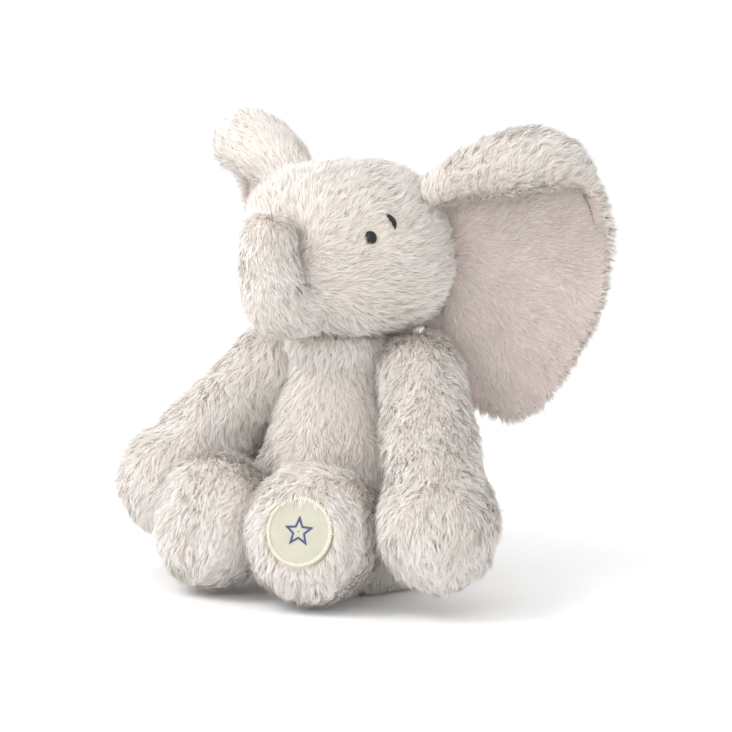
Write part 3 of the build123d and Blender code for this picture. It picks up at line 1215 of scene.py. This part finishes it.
def edge_stitches():
    """A zigzag round the edge, from just outside the leather to inside it and back."""
    lines = []
    for i in range(EDGE_STITCHES):
        corners = []
        for step, r in ((0, EDGE_OUTER_R), (0.5, EDGE_INNER_R), (1, EDGE_OUTER_R)):
            a = 2 * pi * (i + step) / EDGE_STITCHES
            corners.append(np.array([r * cos(a), r * sin(a)]))
        lines.append(stitch(corners[0], corners[1], 0.85, 5))
        lines.append(stitch(corners[1], corners[2], 0.85, 5))
    thread_piece(
        "patch_edge_stitches", lines, 0.21, CREAM_THREAD, "patch_stitching"
    )


def star():
    """A plain embroidered star: close rows of thread within its outline."""
    tips = []
    for i, r in enumerate([STAR_TIP_R, STAR_NOTCH_R] * 5):
        tips.append(np.array([r * sin(pi * i / 5), r * cos(pi * i / 5)]))
    lines = []
    for a, b in zip(tips, tips[1:] + tips[:1]):
        for k in range(STAR_ROWS):
            edge = a + (b - a) * (k + 0.5) / STAR_ROWS
            lines.append(stitch(edge, edge * 0.72, 1.42, 4))
    thread_piece("patch_star_thread", lines, 0.2, NAVY_THREAD, "patch_star")


patch_leather()
edge_stitches()
star()

# ---- pieces that keep their CAD shape ------------------------------------------------------

FINISHES = {
    "filling": FILLING,
    "foam": FOAM,
    "lining_cloth": woven_material("lining_cloth", (0.8, 0.77, 0.72)),
    "pellets": pellet_material(),
}


def finish_cad_nodes():
    slot_of = {s["node"]: s["material_slot"] for s in frame["record"]["subparts"]}
    for node, shown in frame["nodes"].items():
        finish = FINISHES.get(slot_of[node])
        if finish:
            shown.data.materials.clear()
            shown.data.materials.append(finish)


finish_cad_nodes()

# ---- floor, light and camera, in metres ----------------------------------------------------

AZIMUTH = radians(38.0)
ELEVATION = radians(8.0)
LEVEL_BACK = np.array([sin(AZIMUTH), -cos(AZIMUTH), 0.0])
BACK = LEVEL_BACK * cos(ELEVATION) + UP * sin(ELEVATION)
RIGHT = np.array([cos(AZIMUTH), sin(AZIMUTH), 0.0])
TARGET = np.array([0.0, 0.0, 0.106]) + RIGHT * 0.010
LAMP_TARGET = (0, 0, 0.10)
LENS = 200.0
DISTANCE = 0.838 * LENS / 85.0  # an 85 mm lens frames the toy the same from 0.838 m
FLOOR_HALF_MM = 6000.0
SKY_STRENGTH = 1.12


def floor():
    n = Nodes("studio_floor")
    grain = n.noise(n.object_place(), 40.0, 3.0)
    material = n.finish(
        Base_Color=n.ramp(grain, [(0.3, (0.955, 0.955, 0.955)), (0.7, (0.965, 0.965, 0.965))]),
        Roughness=0.9,
        Specular_IOR_Level=0.1,
    )
    corners = np.array([(-1, -1, 0), (1, -1, 0), (1, 1, 0), (-1, 1, 0)]) * FLOOR_HALF_MM
    piece = new_object("studio_floor", corners, [[0, 1, 2, 3]], material)


def in_view(right, up, back):
    """A place given from the toy, along the camera's right, straight up and towards it."""
    return tuple(RIGHT * right + UP * up + LEVEL_BACK * back)


def area_light(name, place, size, watts):
    light = bpy.data.lights.new(name, "AREA")
    light.shape = "DISK"
    light.size = size
    light.energy = watts
    lamp = bpy.data.objects.new(name, light)
    lamp.location = place
    aim = Vector(LAMP_TARGET) - Vector(place)
    lamp.rotation_euler = aim.to_track_quat("-Z", "Y").to_euler()
    bpy.context.scene.collection.objects.link(lamp)


def white_room():
    world = bpy.data.worlds.new("studio")
    world.use_nodes = True
    background = world.node_tree.nodes["Background"]
    background.inputs["Color"].default_value = (1, 1, 1, 1)
    background.inputs["Strength"].default_value = SKY_STRENGTH
    bpy.context.scene.world = world
    bpy.context.scene.view_settings.view_transform = "Standard"


def add_camera():
    camera = bpy.data.cameras.new("camera")
    camera.lens = LENS
    camera.sensor_width = 36.0
    camera.clip_end = 20.0
    viewer = bpy.data.objects.new("camera", camera)
    viewer.location = TARGET + BACK * DISTANCE
    viewer.rotation_euler = Vector(-BACK).to_track_quat("-Z", "Y").to_euler()
    bpy.context.scene.collection.objects.link(viewer)
    bpy.context.scene.camera = viewer


floor()
area_light("key", in_view(-1.0, 1.25, 0.45), 0.9, 10.0)
area_light("fill", in_view(-0.9, 0.4, 1.4), 1.0, 7.0)
white_room()
add_camera()
